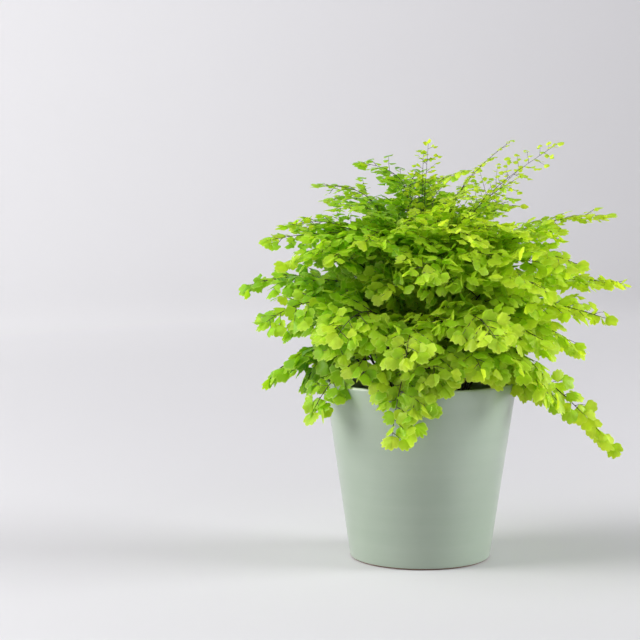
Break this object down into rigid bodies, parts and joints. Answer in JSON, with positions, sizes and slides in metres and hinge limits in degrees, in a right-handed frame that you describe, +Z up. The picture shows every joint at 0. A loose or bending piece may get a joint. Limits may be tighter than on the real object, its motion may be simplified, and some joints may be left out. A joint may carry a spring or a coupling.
{
  "type": "potted maidenhair fern",
  "caption": "Maidenhair fern with fan-shaped leaflets on wiry stalks, in a plastic grow pot inside a tapered sage-green glazed cover pot",
  "frame": {"origin": "centre of the pot's flat underside", "axes": "+Z up along the pot's axis, -Y to the front, +X to the right seen from the front"},
  "size_m": [0.2946, 0.2331, 0.3163],
  "materials": {
    "glaze": "glossy pale sage-green glaze",
    "grow_plastic": "thin black moulded plastic",
    "soil": "moist dark potting soil and roots",
    "leaf": "thin satin fresh-green leaflets on dark wiry stalks"
  },
  "bodies": {
    "root": {"crown_frond_01": "leaf", "crown_frond_02": "leaf", "crown_frond_03": "leaf", "crown_frond_04": "leaf", "crown_frond_05": "leaf", "crown_frond_06": "leaf", "crown_frond_07": "leaf", "crown_frond_08": "leaf", "crown_frond_09": "leaf", "crown_frond_10": "leaf", "grow_pot": "grow_plastic", "pot": "glaze", "root_ball": "soil", "shoulder_frond_01": "leaf", "shoulder_frond_02": "leaf", "shoulder_frond_03": "leaf", "shoulder_frond_04": "leaf", "shoulder_frond_05": "leaf", "shoulder_frond_06": "leaf", "shoulder_frond_07": "leaf", "shoulder_frond_08": "leaf", "shoulder_frond_09": "leaf", "shoulder_frond_10": "leaf", "shoulder_frond_11": "leaf", "shoulder_frond_12": "leaf", "skirt_frond_01": "leaf", "skirt_frond_02": "leaf", "skirt_frond_03": "leaf", "skirt_frond_04": "leaf", "skirt_frond_05": "leaf", "skirt_frond_06": "leaf", "skirt_frond_07": "leaf", "skirt_frond_08": "leaf", "skirt_frond_09": "leaf", "skirt_frond_10": "leaf", "skirt_frond_11": "leaf", "skirt_frond_12": "leaf", "young_frond_01": "leaf", "young_frond_02": "leaf", "young_frond_03": "leaf"}
  },
  "joints": []
}
